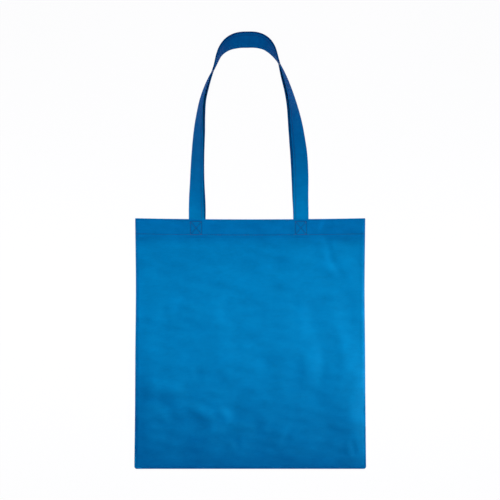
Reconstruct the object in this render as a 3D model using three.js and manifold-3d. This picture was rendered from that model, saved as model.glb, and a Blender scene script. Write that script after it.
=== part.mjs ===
// Non-woven shopping bag, lying empty on its back with its carrying handles laid out above it.
// Millimetres. X runs across the bag, Y from the bottom fold to the handles, Z up from the
// surface it lies on. The origin is under the middle of its outline.
import * as THREE from 'three';
import { mergeVertices } from 'three/addons/utils/BufferGeometryUtils.js';
import Module from 'manifold-3d';

const wasm = await Module();
wasm.setup();

// Cloth
const LAYER = 0.5; // one layer of spunbond cloth
const LAYER_GAP = 0.3; // air between two layers that are not joined

// Body
const BAG_WIDTH = 380; // across the mouth, seam to seam
const BAG_HEIGHT = 411; // bottom fold to mouth
const WAIST = 1.5; // how far each side draws in at mid height
const MOUTH_SAG = 2; // how far the mouth's edge dips in the middle
const CORNER_RADIUS = 4; // at the two ends of the bottom fold
const HEM = 30; // cloth turned inwards at the mouth
const SIDE_SEAM = 3; // joined edge along each side
const HEM_SIDE_SEAM = 12; // where the hem's layers are caught in the side seam
const BOTTOM_FOLD = 2;
const PUFF = 10; // air between the front and the back in the middle
const SIDE_RISE = 75; // from a side seam to the full puff
const BOTTOM_RISE = 90; // from the bottom fold to the full puff

// Handles
const STRAP_WIDTH = 24.5;
const STRAP_THICKNESS = 1.3; // a strip folded in four
const HANDLE_RISE = 306; // mouth to the top of the loop
const STRAP_STEPS = 132; // sections along one strap

// Places that follow from the sizes
const Y_BOTTOM = -(BAG_HEIGHT + HANDLE_RISE) / 2;
const Y_MOUTH = Y_BOTTOM + BAG_HEIGHT;
const HALF_WIDTH = BAG_WIDTH / 2;
const MOUTH_OVERRUN = 5; // how far a cut runs out past the mouth

// Grid lines of the body: distances in from a side, and up from the bottom fold
const SIDE_LINES = [0, SIDE_SEAM, 7, HEM_SIDE_SEAM, 20, 30, 42, 57, SIDE_RISE, 110, 150, HALF_WIDTH];
const FOLD_LINES = [0, 0.7, BOTTOM_FOLD, CORNER_RADIUS, 10, 20, 34, 50, 68, BOTTOM_RISE];
const PANEL_LINES = [150, 205, 260, 320, BAG_HEIGHT - HEM];

// Stations of the pair of handles, up the left leg, over the loop and down the right leg.
// Each is [x, y above the mouth, roll in degrees, spread, shift, lift]: roll 0 lies flat with
// the front handle on top, 90 stands on edge and 180 lies flat with the rear handle on top.
// Spread is the distance between the two handles' middles, shift how far they slide apart
// sideways, and lift the height of the lower one above the surface.
const TOUCHING = STRAP_THICKNESS + 0.5;
const HEM_STACK = 2 * LAYER + 2 * LAYER_GAP; // the back panel and its hem, under the rear handle
const MOUTH_SPREAD = PUFF + 2 * LAYER - 2 * HEM_STACK - STRAP_THICKNESS;
const SEWN_IN = 28; // length of each end inside the bag
const HANDLE_STATIONS = [
  [-86.9, -SEWN_IN, 0, MOUTH_SPREAD, 2.7, HEM_STACK],
  [-86.9, 0, 0, MOUTH_SPREAD, 2.7, HEM_STACK],
  [-86.9, 14, 6, MOUTH_SPREAD - 1.5, 2.6, 0.8],
  [-87, 37, 20, 2.6, 2.3, 0],
  [-86.9, 63, 29, 2.2, 0.8, 0],
  [-86, 99, 38.5, 3.2, 0, 0],
  [-83.4, 141, 50, 3.8, 0, 0],
  [-81.1, 168, 64, 4.2, 0, 0],
  [-77.3, 194, 75, 4, 0, 0],
  [-69.7, 220, 81, 3.8, 0, 0],
  [-58.4, 248, 90, TOUCHING, 0, 0],
  [-50.6, 268.5, 105, TOUCHING, -1, 0],
  [-44.3, 277.4, 117, TOUCHING, -1.6, 0],
  [-36.2, 284.6, 132, TOUCHING, -1.8, 0],
  [-26.4, 289.6, 150, TOUCHING, -1.8, 0],
  [-16, 292.2, 162, TOUCHING, -2, 0],
  [-5, 292.7, 165, TOUCHING, -2.2, 0],
  [6.6, 292.5, 162, TOUCHING, -2, 0],
  [16.4, 290.2, 151, TOUCHING, -2, 0],
  [26.2, 285, 134, TOUCHING, -2, 0],
  [34.6, 276.4, 118, TOUCHING, -1.8, 0],
  [40.4, 267.4, 104, TOUCHING, -1.2, 0],
  [46.2, 256, 90, 2, 0, 0],
  [54.4, 233, 75, 3.4, 0, 0],
  [62.8, 207, 68, 4, 0, 0],
  [69.1, 181, 56, 4, 1, 0],
  [73.5, 155, 36, 3, 2, 0],
  [77, 128, 22, 2, 3, 0],
  [79.8, 102, 10, TOUCHING, 3.8, 0],
  [81.5, 69, 5, TOUCHING, 3.4, 0],
  [82.1, 37, 3, 2.6, 1.5, 0],
  [82.8, 14, 1, MOUTH_SPREAD - 1.5, 0.5, 0.8],
  [83, 0, 0, MOUTH_SPREAD, 0.3, HEM_STACK],
  [83, -SEWN_IN, 0, MOUTH_SPREAD, 0.3, HEM_STACK],
];

const clothMaterial = (name, color) => {
  const material = new THREE.MeshStandardMaterial({ color, roughness: 0.85, metalness: 0 });
  material.name = name;
  return material;
};

// Closed surfaces

function surface(positions, triangles) {
  const geometry = new THREE.BufferGeometry();
  geometry.setAttribute('position', new THREE.Float32BufferAttribute(positions, 3));
  geometry.setIndex(triangles);
  return geometry;
}

// Two triangles across the corners a, b, c, d, which run anticlockwise seen from outside.
const quad = (a, b, c, d) => [a, b, c, a, c, d];

function toSolid(geometry) {
  const merged = mergeVertices(geometry, 1e-4);
  return new wasm.Manifold(new wasm.Mesh({
    numProp: 3,
    vertProperties: new Float32Array(merged.attributes.position.array),
    triVerts: new Uint32Array(merged.index.array),
  }));
}

function toGeometry(solid) {
  const mesh = solid.getMesh();
  return surface([...mesh.vertProperties], [...mesh.triVerts]);
}

// Body

const easeOut = (t) => Math.sin((Math.PI / 2) * Math.min(Math.max(t, 0), 1));

// The side draws in as a half sine wave, and turns a quarter circle into the bottom fold.
function halfWidthAt(up) {
  const along = Math.min(up / BAG_HEIGHT, 1);
  const below = Math.max(CORNER_RADIUS - up, 0);
  const corner = CORNER_RADIUS - Math.sqrt(CORNER_RADIUS ** 2 - below ** 2);
  return HALF_WIDTH - WAIST * Math.sin(Math.PI * along) - corner;
}

// A point of the bag's outline plane: across runs from -1 to 1, up from the bottom fold.
function placeOnPanel(across, up) {
  const sag = MOUTH_SAG * (1 - across ** 2);
  return [across * halfWidthAt(up), Y_BOTTOM + (up * (BAG_HEIGHT - sag)) / BAG_HEIGHT];
}

// Top of the front panel: two layers at the seams, rising to the full puff.
function frontHeight(across, up) {
  const fromSide = HALF_WIDTH * (1 - Math.abs(across));
  return 2 * LAYER + PUFF * easeOut(fromSide / SIDE_RISE) * easeOut(up / BOTTOM_RISE);
}

const frontDepth = (depth) => (across, up) => frontHeight(across, up) - depth;
const backDepth = (depth) => () => depth;

function acrossLines(fromSide) {
  const left = SIDE_LINES.filter((line) => line >= fromSide).map((line) => line / HALF_WIDTH - 1);
  const right = left.slice(0, -1).map((line) => -line).reverse();
  return [...left, ...right];
}

// The space over a grid of the panel between two heights, closed all round.
function slab(across, up, lowAt, highAt) {
  const positions = [];
  for (const heightAt of [lowAt, highAt]) {
    for (const v of up) {
      for (const u of across) {
        positions.push(...placeOnPanel(u, v), heightAt(u, v));
      }
    }
  }
  const columns = across.length;
  const rows = up.length;
  const low = (column, row) => row * columns + column;
  const high = (column, row) => low(column, row) + columns * rows;
  const triangles = [];
  for (let row = 0; row < rows - 1; row += 1) {
    for (let column = 0; column < columns - 1; column += 1) {
      const corners = [[column, row], [column + 1, row], [column + 1, row + 1], [column, row + 1]];
      triangles.push(...quad(...corners.map(([i, j]) => high(i, j))));
      triangles.push(...quad(...corners.map(([i, j]) => low(i, j)).reverse()));
    }
  }
  const rim = [
    ...across.map((_, column) => [column, 0]),
    ...up.slice(1).map((_, row) => [columns - 1, row + 1]),
    ...across.slice(1).map((_, column) => [columns - 2 - column, rows - 1]),
    ...up.slice(1).map((_, row) => [0, rows - 2 - row]),
  ];
  for (let i = 0; i < rim.length - 1; i += 1) {
    const here = rim[i];
    const next = rim[i + 1];
    triangles.push(...quad(low(...here), low(...next), high(...next), high(...here)));
  }
  return toSolid(surface(positions, triangles));
}

// One sheet folded at the bottom, joined up both sides, its mouth turned inwards as a hem.
function bodyGeometry() {
  const upLines = [...FOLD_LINES, ...PANEL_LINES];
  const foldRound = LAYER / 2;
  const outerLow = (across, up) => (up === 0 ? foldRound : 0);
  const outerHigh = (across, up) => frontHeight(across, up) - (up === 0 ? foldRound : 0);
  const outside = slab(acrossLines(0), [...upLines, BAG_HEIGHT], outerLow, outerHigh);

  const insideLines = upLines.filter((line) => line >= BOTTOM_FOLD);
  const inside = slab(acrossLines(SIDE_SEAM), insideLines, backDepth(LAYER), frontDepth(LAYER));

  const hemTop = BAG_HEIGHT - LAYER - LAYER_GAP;
  const hemBottom = BAG_HEIGHT - HEM - LAYER_GAP;
  const between = acrossLines(HEM_SIDE_SEAM);
  const leafDepth = LAYER + LAYER_GAP;
  const hemDepth = leafDepth + LAYER;
  const mouth = slab(
    between, [hemBottom, BAG_HEIGHT + MOUTH_OVERRUN], backDepth(hemDepth), frontDepth(hemDepth),
  );
  const frontSlot = slab(between, [hemBottom, hemTop], frontDepth(leafDepth), frontDepth(LAYER));
  const backSlot = slab(between, [hemBottom, hemTop], backDepth(LAYER), backDepth(leafDepth));

  return toGeometry(outside.subtract(inside).subtract(mouth).subtract(frontSlot).subtract(backSlot));
}

// Handles

const FRONT = 1;
const REAR = -1;

const routeOfHandles = new THREE.CatmullRomCurve3(
  HANDLE_STATIONS.map(([x, y]) => new THREE.Vector3(x, Y_MOUTH + y, 0)), false, 'centripetal',
);

// Roll, spread, shift and lift part of the way along, straight between two stations.
function setOfHandles(along) {
  const place = along * (HANDLE_STATIONS.length - 1);
  const first = Math.min(Math.floor(place), HANDLE_STATIONS.length - 2);
  const here = HANDLE_STATIONS[first];
  const next = HANDLE_STATIONS[first + 1];
  const [roll, spread, shift, lift] = [2, 3, 4, 5].map(
    (column) => THREE.MathUtils.lerp(here[column], next[column], place - first),
  );
  return { roll: THREE.MathUtils.degToRad(roll), spread, shift, lift };
}

// The four corners of one handle's section. Outwards is away from the loop's inside; the strap
// turns about its length by the roll, which sinks its outer edge.
function strapSection(along, side) {
  const { roll, spread, shift, lift } = setOfHandles(along);
  const forward = routeOfHandles.getTangent(along);
  const upward = new THREE.Vector3(0, 0, 1);
  const outward = upward.clone().cross(forward).normalize();
  const edge = outward.clone().multiplyScalar(Math.cos(roll)).addScaledVector(upward, -Math.sin(roll));
  const face = upward.clone().multiplyScalar(Math.cos(roll)).addScaledVector(outward, Math.sin(roll));
  const middle = routeOfHandles.getPoint(along);
  middle.z = lift
    + ((STRAP_WIDTH + Math.abs(shift)) / 2) * Math.sin(roll)
    + ((spread + STRAP_THICKNESS) / 2) * Math.abs(Math.cos(roll));
  middle.addScaledVector(face, (side * spread) / 2).addScaledVector(edge, (side * shift) / 2);
  const corner = (toEdge, toFace) => middle.clone()
    .addScaledVector(edge, (toEdge * STRAP_WIDTH) / 2)
    .addScaledVector(face, (toFace * STRAP_THICKNESS) / 2);
  return [corner(1, 1), corner(1, -1), corner(-1, -1), corner(-1, 1)];
}

// A flat strap carried along the route, closed at both sewn-in ends.
function strapGeometry(side) {
  const positions = [];
  const triangles = [];
  for (let step = 0; step <= STRAP_STEPS; step += 1) {
    const section = strapSection(step / STRAP_STEPS, side);
    positions.push(...section.flatMap((point) => point.toArray()));
  }
  for (let step = 0; step < STRAP_STEPS; step += 1) {
    const at = (corner, end) => (step + end) * 4 + corner;
    triangles.push(
      ...quad(at(3, 0), at(3, 1), at(0, 1), at(0, 0)), // front face
      ...quad(at(0, 0), at(0, 1), at(1, 1), at(1, 0)), // outer edge
      ...quad(at(2, 0), at(1, 0), at(1, 1), at(2, 1)), // rear face, split along the same diagonal
      ...quad(at(2, 0), at(2, 1), at(3, 1), at(3, 0)), // inner edge
    );
  }
  const last = STRAP_STEPS * 4;
  triangles.push(...quad(0, 1, 2, 3));
  triangles.push(...quad(last + 3, last + 2, last + 1, last));
  return surface(positions, triangles);
}

// Assembly

const bag = new THREE.Group();
const clothPieces = [
  ['bag_body', bodyGeometry(), clothMaterial('body_cloth', 0x0374b4)],
  ['front_handle', strapGeometry(FRONT), clothMaterial('front_strap_cloth', 0x036cb2)],
  ['rear_handle', strapGeometry(REAR), clothMaterial('rear_strap_cloth', 0x03609e)],
];
for (const [name, geometry, material] of clothPieces) {
  const mesh = new THREE.Mesh(geometry, material);
  mesh.name = name;
  bag.add(mesh);
}

export default bag;
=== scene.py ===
"""Non-woven shopping bag, lying empty on its back with its handles laid out above it.

Metres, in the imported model's frame: X across the bag, Y from the bottom fold to the handles,
Z up from the surface that it lies on.
"""
import math

import bpy
import numpy as np
from mathutils import Matrix, Vector


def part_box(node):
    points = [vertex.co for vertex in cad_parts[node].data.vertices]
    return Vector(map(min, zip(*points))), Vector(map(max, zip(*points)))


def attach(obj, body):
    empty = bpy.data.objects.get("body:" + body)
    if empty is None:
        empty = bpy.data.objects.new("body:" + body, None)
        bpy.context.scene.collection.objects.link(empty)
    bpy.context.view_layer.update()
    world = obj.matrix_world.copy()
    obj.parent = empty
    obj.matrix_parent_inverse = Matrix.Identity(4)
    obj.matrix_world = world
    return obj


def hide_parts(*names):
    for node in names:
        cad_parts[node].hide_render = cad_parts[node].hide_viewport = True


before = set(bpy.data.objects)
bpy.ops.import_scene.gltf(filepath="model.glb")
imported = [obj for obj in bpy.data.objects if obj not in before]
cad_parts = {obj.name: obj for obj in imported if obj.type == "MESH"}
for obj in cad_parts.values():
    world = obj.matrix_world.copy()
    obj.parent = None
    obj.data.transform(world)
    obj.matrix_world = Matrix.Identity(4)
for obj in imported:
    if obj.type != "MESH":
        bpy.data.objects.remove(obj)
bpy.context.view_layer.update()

bl_info = {
    "name": "Non-woven shopping bag",
    "version": (1, 0, 0),
    "blender": (4, 5, 0),
    "location": "View3D > Sidebar > Shopping bag",
    "description": "Makes a sewn spunbond shopping bag with strap handles, and its studio",
    "category": "Object",
}

MM = 0.001

# Body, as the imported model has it
BODY_LOW, BODY_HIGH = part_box("bag_body")
HALF_WIDTH = (BODY_HIGH[0] - BODY_LOW[0]) / 2
Y_BOTTOM = BODY_LOW[1]
Y_MOUTH = BODY_HIGH[1]
HEIGHT = Y_MOUTH - Y_BOTTOM
WAIST = 1.5 * MM  # how far each side draws in at mid height
MOUTH_TAPER = 1.4 * MM  # how far each side draws in towards the mouth
TAPER_START = 170 * MM  # height above the bottom fold where that begins
TAPER_LENGTH = 150 * MM
MOUTH_SAG = 2 * MM  # how far the mouth's edge dips in the middle
CORNER_RADIUS = 4 * MM
HEM = 30 * MM
FRONT_TOP = BODY_HIGH[2] - 0.25 * MM  # middle of the front panel's cloth, in the middle of the bag

# Cloth
LAYER = 0.4 * MM  # thickness of one layer
PITCH = 0.5 * MM  # from the middle of one layer to the next where they are pressed together
ALLOWANCE = 9 * MM  # cloth turned inside along each side seam

# Handles
STRAP_THICKNESS = 1.3 * MM
STRAP_STEPS = 400  # stretches along one strap's mesh
SEWN_IN = 28 * MM  # length of each strap end inside the hem
CLOSING_INSET = 3.3 * MM  # from a strap's open edge to the stitches that close it

# Sewing
THREAD_RADIUS = 0.28 * MM
STITCH_SHARE = 0.86  # how much of a stitch's length the thread lies on the cloth
BOX_WIDTH = 18.3 * MM  # of a crossed box of stitches
BOX_HEIGHT = 21.6 * MM
BOX_BOTTOM = Y_MOUTH - MOUTH_SAG - 25 * MM
BOX_MIDDLES = {"left": -88.9 * MM, "right": 82.6 * MM}


def stations():
    """The pair of handles' stations in metres and radians: x, y above the mouth, roll, spread,
    shift and lift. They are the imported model's, but where the straps stand on edge they lie
    closer, without the gap that it leaves between them."""
    touching = 1.4
    hem_stack = 1.6
    mouth = 6.5
    rows = [
        (-86.9, -28, 0, mouth, 2.7, hem_stack),
        (-86.9, 0, 0, mouth, 2.7, hem_stack),
        (-86.9, 14, 6, mouth - 1.5, 2.6, 0.8),
        (-87, 37, 20, 2.6, 2.3, 0),
        (-86.9, 63, 29, 2.2, 0.8, 0),
        (-86, 99, 38.5, 3.2, 0, 0),
        (-83.4, 141, 50, 3.8, 0, 0),
        (-81.1, 168, 64, 4.2, 0, 0),
        (-77.3, 194, 75, 4, 0, 0),
        (-69.7, 220, 78, 2.6, 0, 0),
        (-58.4, 248, 91, touching, 0, 0),
        (-50.6, 268.5, 105, touching, -1, 0),
        (-44.3, 277.4, 117, touching, -1.6, 0),
        (-36.2, 284.6, 132, touching, -1.8, 0),
        (-26.4, 289.6, 150, touching, -1.8, 0),
        (-16, 292.2, 162, touching, -2, 0),
        (-5, 292.7, 165, touching, -2.2, 0),
        (6.6, 292.5, 162, touching, -2, 0),
        (16.4, 290.2, 151, touching, -2, 0),
        (26.2, 285, 134, touching, -2, 0),
        (34.6, 276.4, 118, touching, -1.8, 0),
        (40.4, 267.4, 104, touching, -1.2, 0),
        (46.2, 256, 90, 1.5, 0, 0),
        (54.4, 233, 75, 3.4, 0, 0),
        (62.8, 207, 68, 4, 0, 0),
        (69.1, 181, 56, 4, 1, 0),
        (73.5, 155, 36, 3, 2, 0),
        (77, 128, 22, 2, 3, 0),
        (79.8, 102, 10, touching, 3.8, 0),
        (81.5, 69, 5, touching, 3.4, 0),
        (82.1, 37, 3, 2.6, 1.5, 0),
        (82.8, 14, 1, mouth - 1.5, 0.5, 0.8),
        (83, 0, 0, mouth, 0.3, hem_stack),
        (83, -28, 0, mouth, 0.3, hem_stack),
    ]
    table = np.array(rows, float)
    table[:, [0, 1, 3, 4, 5]] *= MM
    table[:, 2] = np.radians(table[:, 2])
    return table


class BagSettings(bpy.types.PropertyGroup):
    """Sizes and colours that a user would change."""

    cloth_colour: bpy.props.FloatVectorProperty(
        name="Cloth", description="Colour of the spunbond cloth", subtype="COLOR",
        size=3, min=0, max=1, default=(0.0, 0.150, 0.297))
    thread_colour: bpy.props.FloatVectorProperty(
        name="Thread", description="Colour of the sewing thread", subtype="COLOR",
        size=3, min=0, max=1, default=(0.0005, 0.035, 0.14))
    bond_pitch: bpy.props.FloatProperty(
        name="Bond pitch", description="Distance between the cloth's embossed bond points",
        default=1.6 * MM, unit="LENGTH")
    strap_width: bpy.props.FloatProperty(
        name="Strap width", description="Width of a folded handle strap", default=24.5 * MM,
        unit="LENGTH")
    stitch_length: bpy.props.FloatProperty(
        name="Stitch", description="Length of one stitch of the hem and the crossed boxes",
        default=3.2 * MM, unit="LENGTH")
    stitch_inset: bpy.props.FloatProperty(
        name="Hem stitch", description="From the mouth's edge down to the hem's line of stitches",
        default=25.4 * MM, unit="LENGTH")
    wrinkle_height: bpy.props.FloatProperty(
        name="Wrinkles", description="Height of the front panel's soft wrinkles",
        default=0.55 * MM, unit="LENGTH")
    photo_span: bpy.props.FloatProperty(
        name="Frame width", description="Width of the surface that the camera's frame covers",
        default=0.8195, unit="LENGTH")
    camera_height: bpy.props.FloatProperty(
        name="Camera height", description="Height of the camera above the surface",
        default=3.5, unit="LENGTH")
    sky: bpy.props.FloatProperty(
        name="Sky", description="Brightness of the bluish light from all round", default=0.43)
    key_power: bpy.props.FloatProperty(
        name="Softbox power", description="Power of the gridded strip softbox beyond the handles",
        default=3.16, unit="POWER")
    key_spread: bpy.props.FloatProperty(
        name="Grid angle", description="Angle of the beam that the softbox's grid lets through",
        default=math.radians(11), subtype="ANGLE")
    key_aim: bpy.props.FloatProperty(
        name="Softbox aim", description="Y of the line that the softbox is turned to",
        default=-0.066, unit="LENGTH")
    side_power: bpy.props.FloatProperty(
        name="Side softbox power", description="Power of the low softbox on the right",
        default=0.66, unit="POWER")
    handle_power: bpy.props.FloatProperty(
        name="Handle softbox power", description="Power of the narrow softbox on the loop's top",
        default=0.095, unit="POWER")


# Meshes


def mesh_object(name, points, faces, uv=None, masks=None):
    """A named mesh from arrays of points and faces. Points that no face uses are left out."""
    used, renumbered = np.unique(faces.ravel(), return_inverse=True)
    faces = renumbered.reshape(faces.shape)
    mesh = bpy.data.meshes.new(name)
    mesh.from_pydata(points[used].tolist(), [], faces.tolist())
    mesh.polygons.foreach_set("use_smooth", np.ones(len(faces), bool))
    if uv is not None:
        layer = mesh.uv_layers.new(name="cloth")
        layer.data.foreach_set("uv", uv[used][faces.ravel()].astype(np.float32).ravel())
    for mask_name, values in (masks or {}).items():
        attribute = mesh.attributes.new(mask_name, "FLOAT", "POINT")
        attribute.data.foreach_set("value", values[used].astype(np.float32))
    mesh.update()
    piece = bpy.data.objects.new(name, mesh)
    bpy.context.scene.collection.objects.link(piece)
    return piece


def grid_faces(rows, columns):
    """The quads of a grid of points numbered row by row, as a rows-1 by columns-1 by 4 array."""
    first = np.arange(rows * columns).reshape(rows, columns)
    return np.stack([first[:-1, :-1], first[:-1, 1:], first[1:, 1:], first[1:, :-1]], axis=-1)


def thicken(piece, thickness):
    """Gives a sheet its thickness, half to each side."""
    solid = piece.modifiers.new("thickness", "SOLIDIFY")
    solid.thickness = thickness
    solid.offset = 0
    solid.use_even_offset = False
    solid.use_rim = True


def lines(*stretches):
    """Grid lines from (start, end, step) stretches, each line once."""
    parts = [np.linspace(start, end, max(int(round((end - start) / step)), 1) + 1)
             for start, end, step in stretches]
    return np.unique(np.round(np.concatenate(parts), 7))


def joined(*stretches):
    """Rows of values from stretches laid end to end, where a single number holds for its whole
    stretch."""
    return np.concatenate([np.stack(np.broadcast_arrays(*one)) for one in stretches], axis=1)


# Formulas


def ease_out(t):
    """A quarter of a sine wave, from 0 at 0 to 1 at 1 and beyond."""
    return np.sin(np.pi / 2 * np.clip(t, 0, 1))


def smooth(t):
    """A smooth step from 0 at 0 to 1 at 1."""
    t = np.clip(t, 0, 1)
    return t * t * (3 - 2 * t)


def bell(distance, width):
    """A bell curve of height 1."""
    return np.exp(-(distance / width) ** 2)


def eased(distance, *parts):
    """A sum of quarter sine waves, each given by its share and by its reach in millimetres."""
    return sum(share * ease_out(distance / (reach * MM)) for share, reach in parts)


def plane_waves(x, y, seed, count, shortest, longest):
    """A smooth random field: a sum of plane waves of random direction, length and phase, scaled so
    that its usual height is 1."""
    draw = np.random.default_rng(seed)
    angle = draw.uniform(0, 2 * np.pi, count)
    length = np.exp(draw.uniform(np.log(shortest), np.log(longest), count))
    phase = draw.uniform(0, 2 * np.pi, count)
    weight = length / longest
    total = np.zeros(np.shape(x))
    for a, l, p, w in zip(angle, length, phase, weight):
        total += w * np.sin(2 * np.pi * (x * np.cos(a) + y * np.sin(a)) / l + p)
    return total / np.sqrt((weight ** 2).sum() / 2)


def unit(vectors):
    """Vectors made 1 long."""
    return vectors / np.linalg.norm(vectors, axis=-1, keepdims=True)


def walked(points):
    """Distance along a line of points, from 0 at the first."""
    return np.concatenate([[0], np.cumsum(np.linalg.norm(np.diff(points, axis=0), axis=1))])


# Outline of the body


def half_width(up):
    """Half the body's width at a height above the bottom fold: a half sine wave and a smooth step
    drawn in, and a quarter circle at the bottom corner."""
    below = np.clip(CORNER_RADIUS - up, 0, None)
    corner = CORNER_RADIUS - np.sqrt(CORNER_RADIUS ** 2 - below ** 2)
    drawn_in = (WAIST * np.sin(np.pi * np.clip(up / HEIGHT, 0, 1))
                + MOUTH_TAPER * smooth((up - TAPER_START) / TAPER_LENGTH))
    return HALF_WIDTH - drawn_in - corner


def mouth_dip(across):
    """How far the mouth's edge sags at a fraction of the half width: a parabola."""
    return MOUTH_SAG * (1 - across ** 2)


def mouth_edge(x):
    """Y of the mouth's edge."""
    return Y_MOUTH - mouth_dip(x / HALF_WIDTH)


def row_y(across, up):
    """Y of a point that lies up above the bottom fold, with its share of the mouth's sag."""
    return Y_BOTTOM + up * (HEIGHT - mouth_dip(across)) / HEIGHT


def in_hem(up):
    """1 at the height of the hem, falling to 0 over a few millimetres below it."""
    fall = 6 * MM
    return smooth((up - (HEIGHT - HEM - fall)) / fall)


# Folds of the front panel


def fold(x, y, path, width, height):
    """A ridge along a path of straight stretches, in millimetres: a bell curve of the distance to
    the nearest stretch, which fades in and out over the two halves of its length. A negative
    height makes a hollow."""
    half, beyond = 0.5, 0.06  # each fade's length, and how far past the path's end it starts
    points = np.array(path, float) * MM
    starts = walked(points)
    nearest = np.full(np.shape(x), np.inf)
    along = np.zeros(np.shape(x))
    for (px, py), (sx, sy), start in zip(points, np.diff(points, axis=0), starts):
        length = math.hypot(sx, sy)
        t = np.clip(((x - px) * sx + (y - py) * sy) / length ** 2, 0, 1)
        away = np.hypot(x - px - t * sx, y - py - t * sy)
        closer = away < nearest
        nearest = np.where(closer, away, nearest)
        along = np.where(closer, (start + t * length) / starts[-1], along)
    fade = smooth((along + beyond) / half) * smooth((1 + beyond - along) / half)
    return height * MM * fade * bell(nearest, width * MM)


# The folds and hollows that show on the front panel: path, half width and height, in millimetres
FRONT_FOLDS = (
    (((126, 52), (126, 38), (125, 13), (132, -14), (149, -40), (158, -54)), 6.5, -1.05),
    (((112, 30), (113, 4), (120, -20), (130, -38)), 9, 0.525),
    (((-176, -244), (-164, -237), (-148, -231), (-124, -231), (-104, -246)), 11, 1.425),
    (((-106, -246), (-92, -260), (-74, -270), (-50, -282)), 10, 1.65),
    (((-160, -252), (-136, -254), (-118, -262)), 9, -1.2),
    (((-168, -276), (-146, -272), (-130, -284)), 8, 1.2),
    (((-112, -320), (-94, -309), (-70, -302), (-54, -290)), 5, 1.05),
    (((-106, -288), (-62, -294)), 11, -0.825),
    (((-58, -256), (-44, -268), (-30, -282)), 9, 1.35),
    (((-44, -300), (-28, -294), (-14, -288), (8, -290)), 6, 1.05),
    (((-30, -322), (-16, -312)), 8, -0.9),
    (((76, -58), (84, -84), (84, -116), (82, -150)), 12, 1.125),
    (((86, -158), (90, -182), (94, -224)), 10, 0.825),
    (((114, -136), (118, -170), (116, -232)), 11, -1.8),
    (((134, -104), (142, -124), (148, -146), (152, -190), (153, -250)), 11, 1.35),
    (((134, -92), (158, -98), (186, -98)), 24, -1.5),
    (((18, -262), (26, -306)), 10, 0.6),
    (((52, -300), (66, -312)), 12, -1.2),
    (((167, -306), (172, -342)), 5, -0.75),
    (((160, -308), (161, -348)), 6, 0.6),
    (((146, -334), (158, -350)), 5, 0.6),
    (((-148, -108), (-130, -92), (-112, -66)), 7, 1.05),
    (((-146, -94), (-138, -104)), 6, -0.75),
    (((-136, -114), (-118, -112)), 5, 0.6),
    (((-104, -152), (-84, -164), (-66, -176)), 12, 0.9),
    (((-96, -202), (-74, -206)), 10, -0.9),
    (((-48, -190), (-24, -214)), 9, 0.75),
    (((30, -54), (56, -50), (76, -58)), 12, 0.75),
    (((-60, -44), (-30, -52)), 11, 0.75),
    (((-52, -88), (-34, -96)), 12, -0.75),
    (((10, -170), (34, -196)), 10, -0.75),
    (((-20, -150), (0, -166)), 8, 0.6),
    (((-150, 12), (-142, -30)), 10, -0.6),
)


def front_folds(x, y):
    """All the front panel's folds and hollows together."""
    return sum(fold(x, y, *line) for line in FRONT_FOLDS)


# Painted highlight: paler lines along the folds' ridges, where light would catch them: path, half
# width, and how much
RIDGE_HIGHLIGHTS = (
    (((121, 56), (118, 46), (113.5, 36), (114, 24)), 4, 1.7),
    (((113, 30), (118, 16), (125, 3), (128, -10), (130, -23), (138, -38), (147, -50)), 5.5, 0.85),
    (((-117, -321), (-90, -313), (-60, -304)), 3.5, 0.5),
    (((136, -112), (154, -134), (160, -150), (161, -178)), 6, 0.6),
    (((80, -76), (86, -106), (92, -142)), 15, 0.4),
    (((100, -168), (100, -190), (95, -222)), 9, 0.55),
    (((-136, -110), (-114, -86), (-98, -66)), 7, 0.5),
    (((-80, -250), (-50, -268), (-26, -286)), 8, 0.5),
)


def ridge_highlight(x, y):
    """How much paler the cloth is painted along the folds' ridges: a painted highlight."""
    return sum(fold(x, y, *line) for line in RIDGE_HIGHLIGHTS) / MM


# Places where something under the front panel shows through it


def groove(x, y, start, end, width):
    """A bell-shaped dent of depth 1 along a line, with square ends."""
    (x0, y0), (x1, y1) = start, end
    run = np.hypot(x1 - x0, y1 - y0)
    along = ((x - x0) * (x1 - x0) + (y - y0) * (y1 - y0)) / run
    away = ((x - x0) * (y1 - y0) - (y - y0) * (x1 - x0)) / run
    inside = smooth((along + width) / width) * smooth((run + width - along) / width)
    return inside * bell(away, width)


def box_cuts(side):
    """The four sides and two diagonals of a crossed box of stitches."""
    left, right = (BOX_MIDDLES[side] + way * BOX_WIDTH / 2 for way in (-1, 1))
    top = BOX_BOTTOM + BOX_HEIGHT
    corners = [(left, BOX_BOTTOM), (right, BOX_BOTTOM), (right, top), (left, top)]
    sides = [(corners[i], corners[(i + 1) % 4]) for i in range(4)]
    return sides + [(corners[0], corners[2]), (corners[1], corners[3])]


def sewn(x, y, settings):
    """How near a point is to a line of stitches: 1 on a crossed box's lines, about half on the
    hem's, and 0 beyond a millimetre or two."""
    near = 0.55 * bell(mouth_edge(x) - y - settings.stitch_inset, 0.8 * MM)
    for side in BOX_MIDDLES:
        for start, end in box_cuts(side):
            near = np.maximum(near, groove(x, y, start, end, 0.75 * MM))
    return near


def strap_ends(x, y, edge):
    """1 over the two strap ends inside the hem, falling to 0 over an edge width outside them."""
    reach = 12 * MM  # half a strap's width
    low, high = Y_MOUTH - MOUTH_SAG - SEWN_IN, Y_MOUTH + 5 * MM
    across = sum(smooth((reach + edge - np.abs(x - middle)) / edge)
                 for middle in BOX_MIDDLES.values())
    return across * smooth((y - low + edge) / edge) * smooth((high - y + edge) / edge)


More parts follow.
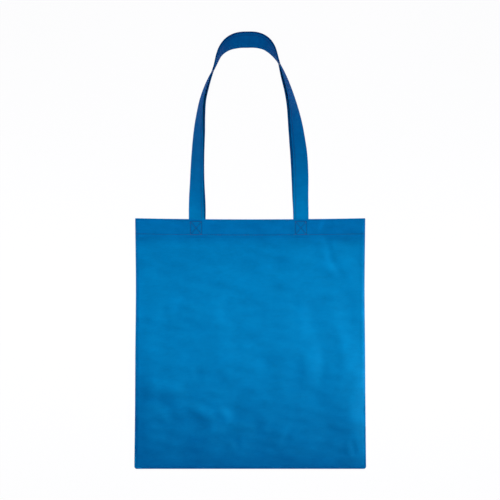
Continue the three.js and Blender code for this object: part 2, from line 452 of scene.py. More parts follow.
def layers_and_shade(x, y):
    """How much darker the cloth is made: 1 on the hem for the layers under it, a little below it
    where the panel hangs from the thick hem as painted shade, and a little more over the strap
    ends and along the side seams' allowances for their layers."""
    below = mouth_edge(x) - y
    hem = smooth((HEM + 0.6 * MM - below) / (1.2 * MM))
    # Painted shade below the thick hem
    painted_shade_under_hem = 0.34 * smooth((HEM + 15 * MM - below) / (15 * MM))
    seams = smooth((ALLOWANCE - (HALF_WIDTH - np.abs(x))) / (1.5 * MM))
    return np.maximum(hem, painted_shade_under_hem) + 0.35 * strap_ends(x, y, 1.2 * MM) + 0.05 * seams


def seam_relief(x, y, settings):
    """The sewn lines pulled into the front panel, the strap ends, the hem's edge and the seam
    allowances' edges pressing through it from below, and small puckers along the hem's stitches.
    Each term's height is in millimetres."""
    below = mouth_edge(x) - y
    past_hem = below - HEM
    past_seam = HALF_WIDTH - np.abs(x) - ALLOWANCE
    puckers = plane_waves(x, 0.3 * y, 11, 18, 8 * MM, 44 * MM)
    return MM * (0.16 * bell(below - 18 * MM, 14 * MM) * puckers
                 - 0.16 * bell(below - 4 * MM, 1.3 * MM)
                 - 0.25 * smooth((past_hem + 0.8 * MM) / (2 * MM))
                 - 0.55 * smooth(past_hem / (16 * MM))
                 - 0.22 * smooth((past_seam + 1 * MM) / (2 * MM)) * smooth(past_hem / (8 * MM))
                 + 0.45 * strap_ends(x, y, 1.6 * MM)
                 - 0.34 * sewn(x, y, settings))


# Shape of the body


def pulled_flat(x, y):
    """How much of the wrinkles is left: a quarter at the sewn strap ends, and all of them well
    away from there."""
    free = np.ones(np.shape(x))
    for middle in BOX_MIDDLES.values():
        away = np.hypot((x - middle) / (26 * MM), (y - (Y_MOUTH - 12 * MM)) / (30 * MM))
        free *= 0.25 + 0.75 * smooth((away - 0.6) / 0.9)
    return free


def side_profile(from_side, up, right):
    """How far the front panel has risen at a distance in from its side, from 0 to 1. Near the
    mouth it is a short shoulder and then a long gentle rise. Lower down it rounds up sooner, and
    soonest on the right."""
    gentle = eased(from_side, (0.32, 5), (0.68, 150))
    left_round = eased(from_side, (0.30, 5.5), (0.36, 30), (0.34, 95))
    short_of = 1 - np.clip(from_side / (27 * MM), 0, 1)
    right_round = eased(from_side, (0.10, 7), (0.20, 60)) + 0.70 * (1 - short_of ** 2)
    lower = smooth((215 * MM - up) / (80 * MM))
    round_side = left_round + (right_round - left_round) * right
    return gentle + (round_side - gentle) * lower


def front_height(x, y, settings):
    """Height of the middle of the front panel's cloth: the seam's stack of layers at the sides,
    rising from each side and from the bottom fold, with soft random waves, the folds and the
    sewn lines added."""
    up = np.clip((y - Y_BOTTOM) * HEIGHT / (HEIGHT - mouth_dip(x / HALF_WIDTH)), 0, HEIGHT)
    from_side = np.clip(half_width(up) - np.abs(x), 0, None)
    stack = (3 + 2.4 * in_hem(up)) * PITCH
    at_bottom = PITCH + (stack - PITCH) * smooth(1 - from_side / (9 * MM))
    base = at_bottom + (stack - at_bottom) * smooth(up / (6 * MM))
    rise = side_profile(from_side, up, smooth(0.5 + x / (60 * MM)))
    rise = rise * eased(up, (0.30, 20), (0.70, 205))
    height = LAYER / 2 + base + (FRONT_TOP - LAYER / 2 - stack) * rise

    waves = (plane_waves(x, y, 3, 26, 48 * MM, 150 * MM)
             + 0.42 * plane_waves(0.5 * x, y, 4, 48, 14 * MM, 44 * MM))
    free = smooth(from_side / (28 * MM)) * smooth(up / (26 * MM)) * pulled_flat(x, y)
    height += free * (settings.wrinkle_height * waves + front_folds(x, y))
    edge_waves = plane_waves(0.3 * x, y, 5, 16, 22 * MM, 60 * MM)
    near_side = smooth(from_side / (4 * MM)) * smooth(1 - from_side / (34 * MM))
    height += 0.35 * MM * near_side * smooth(up / (20 * MM)) * edge_waves
    inside = smooth(from_side / (3 * MM)) * smooth(up / (10 * MM))
    return height + seam_relief(x, y, settings) * inside


def back_height(x, y):
    """Height of the middle of the back panel's cloth: it lies on the surface, with slight waves
    that only lift it."""
    lift = np.clip(plane_waves(x, y, 6, 18, 60 * MM, 140 * MM), 0, 2)
    inside = smooth((HALF_WIDTH - np.abs(x)) / (30 * MM)) * smooth((y - Y_BOTTOM) / (30 * MM))
    return LAYER / 2 + 0.12 * MM * lift * inside


def body_columns():
    """Grid lines across the sheet, from the left seam allowance's raw edge to the right one's:
    the side that each line belongs to, its distance in from that side, and how far it is turned
    under (1 inside, 0 on the panel)."""
    reach = 11.5 * MM  # the finer lines round a crossed box
    turned = ALLOWANCE * np.array([1, 0.7, 0.4, 0.18])
    nose = np.radians([150, 120, 90, 60, 30])
    halves = []
    for sign, middle in zip((-1, 1), BOX_MIDDLES.values()):
        box = HALF_WIDTH - abs(middle)
        panel = lines((PITCH / 2, 1.2 * MM, 0.3 * MM), (1.2 * MM, 6 * MM, 1 * MM),
                      (6 * MM, box - reach, 3.2 * MM), (box - reach, box + reach, 0.85 * MM),
                      (box + reach, HALF_WIDTH, 3.3 * MM))
        halves.append(joined((sign, turned, 1),
                             (sign, PITCH / 2 * (1 - np.sin(nose)), (1 - np.cos(nose)) / 2),
                             (sign, panel, 0)))
    left, right = halves
    return np.concatenate([left, right[:, -2::-1]], axis=1)


def body_rows():
    """Grid lines along the sheet, from the front hem's raw edge over the mouth, down the front,
    round the bottom fold, up the back and into the back hem: height above the bottom fold, how
    far round to the back (0 front, 1 back), how far into the hem's inner layer, and the distance
    along the sheet."""
    turn_radius = 0.55 * PITCH
    edge = HEIGHT - turn_radius
    hem_low = HEIGHT - HEM
    hem = lines((hem_low, edge, 4 * MM))
    front = lines((PITCH, 6 * MM, 1.2 * MM), (6 * MM, hem_low - 4 * MM, 3.1 * MM),
                  (hem_low - 4 * MM, HEIGHT - 2.5 * MM, 0.95 * MM),
                  (HEIGHT - 2.5 * MM, edge, 0.5 * MM))
    back = lines((PITCH, hem_low, 7 * MM), (hem_low, edge, 3.5 * MM))
    turn = np.radians([36, 72, 108, 144])
    over = edge + turn_radius * np.sin(turn)
    into = (1 + np.cos(turn)) / 2
    bottom = np.radians([30, 60, 90, 120, 150])
    up, to_back, inner = joined(
        (hem, 0, 1), (over, 0, into), (front[::-1], 0, 0),
        (PITCH * (1 - np.sin(bottom)), (1 - np.cos(bottom)) / 2, 0),
        (back, 1, 0), (over, 1, into[::-1]), (hem[::-1], 1, 1))
    steps = np.maximum(np.abs(np.diff(up)), 0.2 * MM)
    return up, to_back, inner, np.concatenate([[0], np.cumsum(steps)])


def body_surface(settings):
    """The whole sheet as one grid. A point's place across is its side less its distance in, drawn
    together where the body is narrower. Its height is the front panel's or the back panel's, or
    between them round the bottom fold, less one layer for the hem's inner turn, and a layer or
    two above the back panel in the seam allowances."""
    sign, distance, under = body_columns()
    up, to_back, inner, along = (values[:, None] for values in body_rows())
    inset = inner * 1.6 * MM * np.clip(1 - distance / (8 * MM), 0, 1)
    half = half_width(up)
    x = sign * (half * (1 - distance / HALF_WIDTH) - inset)
    y = row_y(x / half, up)
    front = front_height(x, y, settings)
    back = back_height(x, y)
    hem = in_hem(up)
    hem_gap = 1.1 * PITCH
    front += (back + (2 + 1.1 * hem) * PITCH - front) * under - inner * hem_gap
    back += (1 + 0.9 * hem) * PITCH * under + inner * hem_gap
    z = front + (back - front) * to_back
    uv = np.stack(np.broadcast_arrays(
        sign * (HALF_WIDTH - distance + 2 * distance * under), along), axis=-1)
    # Masks for the cloth's colour: darker over layers and as painted shade below the hem, darker
    # along the stitches partly as painted shade, and paler as a painted highlight on fold ridges
    masks = {"layers_and_shade": layers_and_shade(x, y), "sewn": sewn(x, y, settings) * (1 - inner),
             "ridge_highlight": ridge_highlight(x, y) * (1 - to_back) * (1 - inner)}
    masks = {name: mask.ravel() for name, mask in masks.items()}
    return np.stack([x, y, z], axis=-1), uv, masks, (under > 0) & (inner > 0)


def make_body(settings):
    """The body's sheet as a mesh with its own thickness."""
    points, uv, masks, notch = body_surface(settings)
    rows, columns = points.shape[:2]
    faces = grid_faces(rows, columns)
    cut = notch[:-1, :-1] | notch[1:, :-1] | notch[:-1, 1:] | notch[1:, 1:]
    piece = mesh_object(
        "body_sheet", points.reshape(-1, 3), faces[~cut], uv.reshape(-1, 2), masks)
    thicken(piece, LAYER)
    return piece


# Shape of the handles


def catmull_rom(points, steps):
    """A centripetal Catmull-Rom curve through points, evenly stepped in its own parameter, with
    the fraction of the way between two points. Returns places, directions and fractions."""
    padded = np.concatenate([[2 * points[0] - points[1]], points, [2 * points[-1] - points[-2]]])
    gaps = np.sqrt(np.linalg.norm(np.diff(padded, axis=0), axis=1))
    parameter = np.linspace(0, len(points) - 1, steps + 1)
    first = np.minimum(parameter.astype(int), len(points) - 2)
    t = (parameter - first)[:, None]
    p0, p1, p2, p3 = (padded[first + i] for i in range(4))
    d0, d1, d2 = (gaps[first + i][:, None] for i in range(3))
    m1 = ((p1 - p0) / d0 - (p2 - p0) / (d0 + d1) + (p2 - p1) / d1) * d1
    m2 = ((p2 - p1) / d1 - (p3 - p1) / (d1 + d2) + (p3 - p2) / d2) * d1
    place = ((2 * t ** 3 - 3 * t ** 2 + 1) * p1 + (t ** 3 - 2 * t ** 2 + t) * m1
             + (3 * t ** 2 - 2 * t ** 3) * p2 + (t ** 3 - t ** 2) * m2)
    direction = ((6 * t ** 2 - 6 * t) * p1 + (3 * t ** 2 - 4 * t + 1) * m1
                 + (6 * t - 6 * t ** 2) * p2 + (3 * t ** 2 - 2 * t) * m2)
    return place, unit(direction), parameter


def softened(values, parameter):
    """A station's value between two stations, rounded off: straight between stations, then
    averaged over half a station to each side."""
    index = np.arange(len(values))
    shifts = np.linspace(-0.5, 0.5, 9)
    return np.mean([np.interp(parameter + s, index, values) for s in shifts], axis=0)


def strap_frame(side, settings):
    """Middle line, edge direction, face direction and length along one handle. The strap turns
    about its length by the roll, which sinks its outer edge, and the two handles stand apart by
    the spread along their faces and by the shift along their edges."""
    table = stations()
    table[:, 1] += Y_MOUTH
    place, forward, parameter = catmull_rom(table[:, :2], STRAP_STEPS)
    roll, spread, shift, lift = (softened(table[:, i], parameter) for i in (2, 3, 4, 5))
    inside_hem = np.clip((Y_MOUTH - place[:, 1]) / (4 * MM), 0, 1)
    roll = roll * (1 - inside_hem)
    cos, sin = np.cos(roll)[:, None], np.sin(roll)[:, None]
    outward = np.stack([-forward[:, 1], forward[:, 0], 0 * roll], axis=1)
    upward = np.array([[0, 0, 1.0]])
    clearance = 0.1 * MM  # above the surface that the bag lies on
    edge = cos * outward - sin * upward
    face = cos * upward + sin * outward
    height = (clearance + lift + (settings.strap_width + np.abs(shift)) / 2 * np.sin(roll)
              + (spread + STRAP_THICKNESS) / 2 * np.abs(np.cos(roll)))
    middle = np.concatenate([place, height[:, None]], axis=1)
    middle += face * (side * spread / 2)[:, None] + edge * (side * shift / 2)[:, None]
    return middle, edge, face, walked(middle)


def strap_section(width):
    """Section of a strip folded in four: the cloth's middle line from one raw edge to the other,
    as (across, through) points. The two outer layers meet in a fold at one edge, and each turns
    inwards at the other edge to lie inside."""
    gap = STRAP_THICKNESS / 4
    levels = np.array([1.5, 0.5]) * gap
    straight = np.array([-1, -0.9, -0.82, -0.74, -0.66, -0.5, -0.25, 0, 0.3, 0.6, 0.85, 1])
    lips = -width / 2 + gap / 2
    spine = width / 2 - levels[0]
    raw = spine - 1.2 * MM
    turn = np.radians([-60, -30, 0, 30, 60])
    inner = [(lips + (raw - lips) * (s + 1) / 2, levels[1]) for s in straight[::-1]]
    lip = [(lips - gap / 2 * math.cos(a), gap + gap / 2 * math.sin(a)) for a in turn]
    outer = [(lips + (spine - lips) * (s + 1) / 2, levels[0]) for s in straight]
    bend = [(spine + levels[0] * math.cos(a), levels[0] * math.sin(a))
            for a in np.radians([60, 30, 0])]
    upper = np.array(inner + lip + outer + bend)
    lower = upper[:-1][::-1] * [1, -1]
    return np.concatenate([upper, lower])


def strap_waves(length, across, width):
    """Slight waves through a strap: crosswise ripples, and a soft hollow along its middle."""
    ripple = plane_waves(length, 0 * length, 21, 14, 25 * MM, 90 * MM)
    hollow = 1 - (2 * across / width) ** 2
    return 0.07 * MM * ripple[:, None] * (0.4 + 0.6 * hollow[None, :])


def make_strap(name, side, settings):
    """A folded strap carried along its handle's middle line."""
    middle, edge, face, length = strap_frame(side, settings)
    section = strap_section(settings.strap_width)
    across, level = section.T
    through = level + strap_waves(length, across, settings.strap_width)
    points = (middle[:, None] + edge[:, None] * across[:, None]
              + face[:, None] * through[:, :, None])
    uv = np.stack(np.broadcast_arrays(walked(section), length[:, None]), axis=-1)
    closing = bell(across + settings.strap_width / 2 - CLOSING_INSET, 0.7 * MM)
    # The first mask marks each strap's face that lies against the other handle, for painted shade
    # between the handles; the second darkens along the closing stitches, partly as painted shade
    # of their dimples
    masks = {"layers_and_shade": smooth(-side * level / (0.3 * MM)), "sewn": 0.6 * closing,
             "ridge_highlight": 0 * across}
    masks = {mask: np.tile(values, len(length)) for mask, values in masks.items()}
    faces = grid_faces(*points.shape[:2]).reshape(-1, 4)
    piece = mesh_object(name, points.reshape(-1, 3), faces, uv.reshape(-1, 2), masks)
    thicken(piece, STRAP_THICKNESS / 4 - 0.05 * MM)
    return piece


# Threads


def stitch_shape(length, radius):
    """One stitch lying along X: a rod of six sides, thin at both ends, which dips at its ends as
    the thread goes down into the cloth. Each end is closed with two quads."""
    sides, rings = 6, 7
    along = np.linspace(-1, 1, rings)
    around = np.linspace(0, 2 * np.pi, sides, endpoint=False)
    thick = radius * np.sqrt(np.clip(1 - along ** 4, 0.05, 1))
    dip = -radius * 1.3 * np.abs(along) ** 3
    x = np.repeat(along * length / 2, sides)
    y = (thick[:, None] * np.cos(around)).ravel()
    z = (dip[:, None] + thick[:, None] * np.sin(around)).ravel()
    start = np.array([[5, 4, 3, 2], [5, 2, 1, 0]])
    end = np.array([[0, 1, 2, 3], [0, 3, 4, 5]]) + sides * (rings - 1)
    here = np.arange(sides * (rings - 1))
    beside = here - here % sides + (here + 1) % sides
    round_it = np.stack([here + sides, beside + sides, beside, here], axis=1)
    return np.stack([x, y, z], axis=1), np.concatenate([start, end, round_it])


def stitches(name, middles, directions, normals, settings):
    """Stitches as one piece: the stitch shape laid at each middle, along its direction and
    standing on its normal."""
    shape, faces = stitch_shape(settings.stitch_length * STITCH_SHARE, THREAD_RADIUS)
    frames = np.stack([directions, unit(np.cross(normals, directions)), normals], axis=1)
    points = middles[:, None] + shape @ frames
    numbered = faces + (np.arange(len(middles)) * len(shape))[:, None, None]
    return mesh_object(name, points.reshape(-1, 3), numbered.reshape(-1, 4))


def along_line(start, end, pitch):
    """Middles and unit direction of stitches spaced evenly along a line in the outline plane."""
    start, end = np.array(start), np.array(end)
    run = np.linalg.norm(end - start)
    count = max(int(round(run / pitch)), 1)
    t = (np.arange(count) + 0.5) / count
    return start + (end - start) * t[:, None], np.tile((end - start) / run, (count, 1))


def on_front(places, directions, settings):
    """Lifts stitches onto the front panel, with each one's slope taken from the cloth."""
    step = 0.5 * MM
    behind, top, ahead = (front_height(*(places + directions * shift).T, settings)
                          for shift in (-step, 0, step))
    level = 0 * top
    middles = np.column_stack([places, top + LAYER / 2 + 0.10 * MM])
    slopes = unit(np.column_stack([directions, (ahead - behind) / (2 * step)]))
    sideways = np.column_stack([-directions[:, 1], directions[:, 0], level])
    return middles, slopes, unit(np.cross(slopes, sideways))


def on_back(places, directions, settings):
    """Lays stitches under the back panel, sunk into it so that it still lies flat."""
    level = 0 * places[:, 0]
    under = back_height(*places.T) - LAYER / 2 + 0.16 * MM
    down = np.column_stack([level, level, level - 1])
    return np.column_stack([places, under]), np.column_stack([directions, level]), down


def make_run(name, pairs, lay, settings):
    """Stitches along several straight lines of a panel, as one piece."""
    parts = [lay(*along_line(start, end, settings.stitch_length), settings)
             for start, end in pairs]
    return stitches(name, *(np.concatenate(part) for part in zip(*parts)), settings)


def hem_lines(settings):
    """The hem's line of stitches as short straight pieces that follow the mouth's sag."""
    reach = HALF_WIDTH - 3.5 * MM
    x = np.linspace(-reach, reach, 25)
    spots = list(zip(x, mouth_edge(x) - settings.stitch_inset))
    return list(zip(spots[:-1], spots[1:]))


def make_strap_stitches(name, side, settings):
    """The lines of stitches that close a strap, near its open edge, on both of its faces."""
    middle, edge, face, length = strap_frame(side, settings)
    count = int(length[-1] / settings.stitch_length)
    at = (np.arange(count) + 0.5) * length[-1] / count

    def follow(values):
        """Places or directions at the middles of the stitches."""
        return np.column_stack([np.interp(at, length, values[:, i]) for i in range(3)])

    line = follow(middle) + follow(edge) * (CLOSING_INSET - settings.strap_width / 2)
    along = unit(follow(np.gradient(middle, length, axis=0)))
    normals = np.concatenate([follow(face), -follow(face)])
    middles = np.tile(line, (2, 1)) + normals * (STRAP_THICKNESS / 2 + 0.05 * MM)
    middles[:, 2] = np.maximum(middles[:, 2], THREAD_RADIUS - 0.15 * MM)
    return stitches(name, middles, np.tile(along, (2, 1)), normals, settings)


# Materials


def new_group(name, inputs, outputs):
    """A shader node group with named sockets."""
    group = bpy.data.node_groups.new(name, "ShaderNodeTree")
    for socket, kind, default in inputs:
        made = group.interface.new_socket(socket, in_out="INPUT", socket_type=kind)
        if default is not None:
            made.default_value = default
    for socket, kind in outputs:
        group.interface.new_socket(socket, in_out="OUTPUT", socket_type=kind)
    return group, group.nodes.new("NodeGroupInput"), group.nodes.new("NodeGroupOutput")


def set_inputs(tree, made, inputs):
    """Sets a node's inputs, given by name or number, to constants or links them to sockets."""
    for key, value in inputs.items():
        if isinstance(value, bpy.types.NodeSocket):
            tree.links.new(value, made.inputs[key])
        else:
            made.inputs[key].default_value = value


def node(tree, kind, inputs=None, **settings):
    """A node with its properties and inputs set."""
    made = tree.nodes.new(kind)
    for key, value in settings.items():
        setattr(made, key, value)
    set_inputs(tree, made, inputs or {})
    return made


def math_node(tree, operation, *values):
    """The result of a Math node whose inputs are numbers or sockets."""
    inputs = dict(enumerate(values))
    return node(tree, "ShaderNodeMath", inputs, operation=operation).outputs[0]


def vector_node(tree, operation, inputs, output="Vector"):
    """The result of a Vector Math node."""
    return node(tree, "ShaderNodeVectorMath", inputs, operation=operation).outputs[output]


def scaled(tree, socket, factor, offset):
    """A socket's value times a factor plus an offset."""
    return math_node(tree, "MULTIPLY_ADD", socket, factor, offset)


def lattice_dots(tree, vector, offset):
    """Round dots on a square lattice: how near a point is to its cell's middle, 1 in a dot."""
    shifted = vector_node(tree, "ADD", {0: vector, 1: offset})
    cell = vector_node(tree, "FRACTION", {0: shifted})
    centred = vector_node(tree, "SUBTRACT", {0: cell, 1: (0.5, 0.5, 0.0)})
    reach = vector_node(tree, "LENGTH", {0: centred}, "Value")
    edge = node(tree, "ShaderNodeMapRange", {
        "Value": reach, "From Min": 0.17, "From Max": 0.31, "To Min": 1.0, "To Max": 0.0,
    }, interpolation_type="SMOOTHSTEP")
    return edge.outputs["Result"]


def bond_points_group():
    """Embossed bond points of spunbond cloth: small dots on two interleaved square lattices."""
    group, start, end = new_group(
        "Bond points",
        [("Vector", "NodeSocketVector", None), ("Pitch", "NodeSocketFloat", 1.6 * MM)],
        [("Mask", "NodeSocketFloat")])
    per_metre = math_node(group, "DIVIDE", 1.0, start.outputs["Pitch"])
    cells = vector_node(group, "SCALE", {0: start.outputs["Vector"], "Scale": per_metre})
    flat = vector_node(group, "MULTIPLY", {0: cells, 1: (1, 1, 0)})
    dots = [lattice_dots(group, flat, offset) for offset in ((0, 0, 0), (0.5, 0.5, 0))]
    set_inputs(group, end, {"Mask": math_node(group, "MAXIMUM", *dots)})
    return group


# Each kind of unevenness in the fibres' lay: how its pattern is placed, and its noise
FIBRE_LAY = {
    "Clouds": ({"Scale": (110, 330, 110)}, {"Detail": 3, "Roughness": 0.6}),
    "Strands": ({"Scale": (900, 5200, 900), "Rotation": (0, 0, 0.5)},
                {"Detail": 2, "Distortion": 1.6}),
    "Patches": ({"Scale": (34, 52, 34)}, {"Detail": 4, "Roughness": 0.6}),
}


def fibre_group():
    """The uneven lay of the fibres: soft clouds a few millimetres across, fine drawn-out strands
    and wide patches, each about 0.5 on average."""
    group, start, end = new_group(
        "Fibre lay", [("Vector", "NodeSocketVector", None)],
        [(name, "NodeSocketFloat") for name in FIBRE_LAY])
    for name, (placing, texture) in FIBRE_LAY.items():
        place = node(group, "ShaderNodeMapping", {"Vector": start.outputs["Vector"], **placing})
        noise = node(group, "ShaderNodeTexNoise",
                     {"Vector": place.outputs["Vector"], "Scale": 1, **texture})
        set_inputs(group, end, {name: noise.outputs["Fac"]})
    return group


def new_material(name):
    """A material with nodes. Returns it, its tree and its shader."""
    material = bpy.data.materials.new(name)
    material.use_nodes = True
    return material, material.node_tree, material.node_tree.nodes["Principled BSDF"]


def scaled_colour(colour, factor):
    """A colour made lighter or darker, as four numbers."""
    return tuple(min(c * factor, 1) for c in colour) + (1.0,)


def spunbond(name, colour, settings, bond, fibres, layer_shade):
    """Spunbond cloth: the cloth's colour, paler and deeper with the fibres' lay, darker in the
    bond points, along the sewing (partly painted shade) and over other layers (with painted shade
    below the hem and between the handles), paler as a painted highlight on fold ridges, all
    embossed by the same pattern."""
    material, tree, shader = new_material(name)
    uv = node(tree, "ShaderNodeUVMap", uv_map="cloth").outputs["UV"]
    dots = node(tree, "ShaderNodeGroup", node_tree=bond)
    set_inputs(tree, dots, {"Vector": uv, "Pitch": settings.bond_pitch})
    lay = node(tree, "ShaderNodeGroup", node_tree=fibres)
    set_inputs(tree, lay, {"Vector": uv})
    # The first mask darkens over other layers and paints shade below the hem and between the
    # handles; the second darkens along the stitches, partly painted shade; the third is a painted
    # highlight on fold ridges
    layers_and_shade_mask, seam, pale = (
        node(tree, "ShaderNodeAttribute", attribute_name=mask).outputs["Fac"]
        for mask in ("layers_and_shade", "sewn", "ridge_highlight"))

    shade = 1.0
    for source, depth in (("Clouds", 0.22), ("Patches", 0.40), ("Strands", 0.16)):
        factor = scaled(tree, lay.outputs[source], depth, 1 - depth / 2)
        shade = math_node(tree, "MULTIPLY", shade, factor)
    # Darker along the stitches: their holes, and painted shade of the dimples they pull in. Paler
    # on the folds' ridges: painted highlight
    for source, depth in ((dots.outputs["Mask"], -0.16), (seam, -0.42), (pale, 0.14)):
        shade = math_node(tree, "MULTIPLY", shade, scaled(tree, source, depth, 1))
    tone = node(tree, "ShaderNodeMix", {
        "Factor": layers_and_shade_mask, "A": (*colour, 1),
        "B": (*(c * f for c, f in zip(colour, layer_shade)), 1),
    }, data_type="RGBA")
    shaded = vector_node(tree, "SCALE", {0: tone.outputs["Result"], "Scale": shade})

    pressed_in = math_node(tree, "MULTIPLY", dots.outputs["Mask"], -1.0)
    relief = math_node(tree, "MULTIPLY_ADD", lay.outputs["Strands"], 0.35, pressed_in)
    bump = node(tree, "ShaderNodeBump", {"Height": relief, "Strength": 0.6, "Distance": 0.12 * MM})
    tint = scaled_colour(colour, 2.2)
    set_inputs(tree, shader, {
        "Base Color": shaded, "Normal": bump.outputs["Normal"],
        "Roughness": scaled(tree, dots.outputs["Mask"], -0.22, 0.78),
        "Specular IOR Level": 0.35, "Specular Tint": tint,
        "Sheen Weight": 0.10, "Sheen Roughness": 0.5, "Sheen Tint": tint})
    return material


def thread_material(colour):
    """Twisted sewing thread: darker and lighter bands wind round it, and dent it."""
    material, tree, shader = new_material("sewing thread")
    place = node(tree, "ShaderNodeTexCoord")
    twist = node(tree, "ShaderNodeTexWave", {
        "Vector": place.outputs["Object"], "Scale": 900, "Distortion": 1.5, "Detail": 1,
    }, wave_type="BANDS", bands_direction="DIAGONAL").outputs["Fac"]
    tone = node(tree, "ShaderNodeMix", {
        "Factor": twist, "A": scaled_colour(colour, 0.7), "B": scaled_colour(colour, 1.2),
    }, data_type="RGBA")
    bump = node(tree, "ShaderNodeBump", {"Height": twist, "Strength": 0.5, "Distance": 0.05 * MM})
    set_inputs(tree, shader, {"Base Color": tone.outputs["Result"], "Roughness": 0.6,
                              "Normal": bump.outputs["Normal"]})
    return material


def floor_material(lift):
    """A plain matt white floor. What the camera sees of it is lightened by the lift, as on a
    light table, so that shadows on it stay faint."""
    material, tree, shader = new_material("pale floor")
    set_inputs(tree, shader, {"Base Color": (0.88, 0.88, 0.88, 1), "Roughness": 0.95,
                              "Specular IOR Level": 0.05})
    glow = node(tree, "ShaderNodeEmission", {"Color": (1, 1, 1, 1), "Strength": 1})
    path = node(tree, "ShaderNodeLightPath")
    mix = node(tree, "ShaderNodeMixShader", {
        "Fac": math_node(tree, "MULTIPLY", path.outputs["Is Camera Ray"], lift),
        1: shader.outputs["BSDF"], 2: glow.outputs["Emission"]})
    set_inputs(tree, tree.nodes["Material Output"], {"Surface": mix.outputs["Shader"]})
    return material


# Operators


def finish_piece(piece, material, slot, *nodes):
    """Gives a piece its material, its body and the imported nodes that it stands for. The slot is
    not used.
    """
    piece.data.materials.append(material)
    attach(piece, "root")
    if nodes:
        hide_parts(*nodes)


def cloth_materials(settings):
    """The materials of cloth and thread, made once."""
    made = bpy.data.materials
    if "body cloth" not in made:
        bond, fibres = bond_points_group(), fibre_group()
        colour = tuple(settings.cloth_colour)
        # Darker tint on the first mask: the hem's layers, and painted shade below the hem
        spunbond("body cloth", colour, settings, bond, fibres, (0.83, 0.83, 0.915))
        # Much darker tint: painted shade where the handles lie against each other
        spunbond("strap cloth", colour, settings, bond, fibres, (0.5, 0.5, 0.6))
        thread_material(tuple(settings.thread_colour))
    return made["body cloth"], made["strap cloth"], made["sewing thread"]


class BAG_OT_stage(bpy.types.Operator):
    """Make the pale floor, the soft lights and the camera that looks down on the bag"""

    bl_idname = "bag.make_stage"
    bl_label = "Stage"

    def execute(self, context):
        settings = context.scene.bag_settings
        reach, level = 6, -0.3 * MM  # half the floor's width, and its height under the bag
        corners = np.array([(x * reach, y * reach, level)
                            for x, y in ((-1, -1), (1, -1), (1, 1), (-1, 1))])
        floor = mesh_object("floor", corners, np.array([[0, 1, 2, 3]]))
        floor.data.materials.append(floor_material(lift=0.975))
        self.make_camera(context, settings)
        self.make_lights(context, settings)
        return {"FINISHED"}

    def make_camera(self, context, settings):
        """A long lens straight above, with the span at the bag's half height filling the frame's
        width, and a fraction of a millimetre off the frame's middle, as in the photo."""
        half_height = 5 * MM
        distance = settings.camera_height - half_height
        camera = bpy.data.cameras.new("camera")
        camera.sensor_width = 36
        camera.lens = camera.sensor_width * distance / settings.photo_span
        camera.clip_end = 50
        holder = bpy.data.objects.new("camera", camera)
        holder.location = (-0.4 * MM, 0.5 * MM, settings.camera_height)
        context.scene.collection.objects.link(holder)
        context.scene.camera = holder

    def make_lights(self, context, settings):
        """A long softbox beyond the handles, a low one on the right, a narrow one on the loop's
        top, and a bluish fill."""
        context.scene.world = self.make_sky(settings.sky)
        context.scene.view_settings.view_transform = "Standard"
        across, lengthwise = (1, 0, 0), (0, 1, 0)
        self.softbox("strip softbox", (1.8, 0.3), settings.key_power, settings.key_spread,
                     (0, settings.key_aim, 0), 3.2, 90, 48, across)
        self.softbox("side softbox", (0.4, 0.25), settings.side_power, math.radians(10),
                     (0.06, -0.24, 0), 3, 0, 16, lengthwise)
        self.softbox("handle softbox", (0.5, 0.15), settings.handle_power, math.radians(7),
                     (0, 0.36, 0), 2.5, 270, 55, across)

    def make_sky(self, strength):
        """A world that fills the shadows with bluish light, and looks pale to the camera."""
        world = bpy.data.worlds.new("studio")
        world.use_nodes = True
        tree = world.node_tree
        fill = tree.nodes["Background"]
        set_inputs(tree, fill, {"Color": (0.14, 0.14, 1, 1), "Strength": strength})
        pale = node(tree, "ShaderNodeBackground", {"Color": (1, 1, 1, 1), "Strength": 0.95})
        path = node(tree, "ShaderNodeLightPath")
        mix = node(tree, "ShaderNodeMixShader", {
            "Fac": path.outputs["Is Camera Ray"], 1: fill.outputs[0], 2: pale.outputs[0]})
        set_inputs(tree, tree.nodes["World Output"], {"Surface": mix.outputs["Shader"]})
        return world

    def softbox(self, name, size, power, spread, aim, distance, azimuth, elevation, level):
        """An area light at a distance, azimuth and elevation from its aim, in degrees, with one
        side along a level direction. Its grid lets light through only near its own axis."""
        azimuth, elevation = math.radians(azimuth), math.radians(elevation)
        lamp = bpy.data.lights.new(name, "AREA")
        lamp.shape = "RECTANGLE"
        lamp.size, lamp.size_y = size
        lamp.spread = spread
        lamp.energy = power
        back = Vector((math.cos(elevation) * math.cos(azimuth),
                       math.cos(elevation) * math.sin(azimuth), math.sin(elevation)))
        level = Vector(level)
        across = (level - back * back.dot(level)).normalized()
        turn = Matrix((across, back.cross(across), back)).transposed()
        holder = bpy.data.objects.new(name, lamp)
        holder.matrix_world = Matrix.Translation(Vector(aim) + back * distance) @ turn.to_4x4()
        bpy.context.scene.collection.objects.link(holder)


class BAG_OT_body(bpy.types.Operator):
    """Make the body: one sheet folded at the bottom, sewn up both sides and hemmed at the mouth"""

    bl_idname = "bag.make_body"
    bl_label = "Body"

    def execute(self, context):
        settings = context.scene.bag_settings
        body_cloth, _, _ = cloth_materials(settings)
        body = make_body(settings)
        finish_piece(body, body_cloth, "body_cloth", "bag_body")
        return {"FINISHED"}


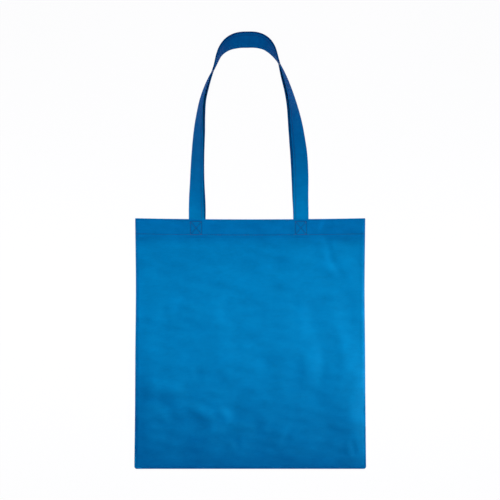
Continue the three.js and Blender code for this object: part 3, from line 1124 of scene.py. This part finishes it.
class BAG_OT_handles(bpy.types.Operator):
    """Make the two handles, each a strip of cloth folded in four"""

    bl_idname = "bag.make_handles"
    bl_label = "Handles"

    def execute(self, context):
        settings = context.scene.bag_settings
        _, strap_cloth, _ = cloth_materials(settings)
        for place, side in (("front", 1), ("rear", -1)):
            strap = make_strap(f"{place}_strap", side, settings)
            finish_piece(strap, strap_cloth, "strap_cloth", f"{place}_handle")
        return {"FINISHED"}


class BAG_OT_threads(bpy.types.Operator):
    """Make the sewing: the hem's stitches, the crossed boxes and the straps' closing lines"""

    bl_idname = "bag.make_threads"
    bl_label = "Threads"

    def execute(self, context):
        settings = context.scene.bag_settings
        _, _, thread = cloth_materials(settings)
        runs = [make_strap_stitches(f"{place}_strap_stitches", side, settings)
                for place, side in (("front", 1), ("rear", -1))]
        for panel, lay in (("front", on_front), ("back", on_back)):
            runs.append(make_run(f"hem_stitches_{panel}", hem_lines(settings), lay, settings))
            runs += [make_run(f"cross_stitches_{panel}_{side}", box_cuts(side), lay, settings)
                     for side in BOX_MIDDLES]
        for run in runs:
            finish_piece(run, thread, "thread")
        return {"FINISHED"}


class BAG_PT_panel(bpy.types.Panel):
    """Lists the steps that make the bag, and its sizes and colours"""

    bl_idname = "BAG_PT_panel"
    bl_label = "Shopping bag"
    bl_space_type = "VIEW_3D"
    bl_region_type = "UI"
    bl_category = "Shopping bag"

    def draw(self, context):
        settings = context.scene.bag_settings
        for name in BagSettings.__annotations__:
            self.layout.prop(settings, name)
        for operator in OPERATORS:
            self.layout.operator(operator.bl_idname)


OPERATORS = (BAG_OT_stage, BAG_OT_body, BAG_OT_handles, BAG_OT_threads)
CLASSES = (BagSettings, *OPERATORS, BAG_PT_panel)


def register():
    for cls in CLASSES:
        bpy.utils.register_class(cls)
    bpy.types.Scene.bag_settings = bpy.props.PointerProperty(type=BagSettings)


def unregister():
    del bpy.types.Scene.bag_settings
    for cls in reversed(CLASSES):
        bpy.utils.unregister_class(cls)


def main():
    register()
    bpy.ops.bag.make_stage()
    bpy.ops.bag.make_body()
    bpy.ops.bag.make_handles()
    bpy.ops.bag.make_threads()
    bpy.context.view_layer.update()


if __name__ == "__main__":
    main()
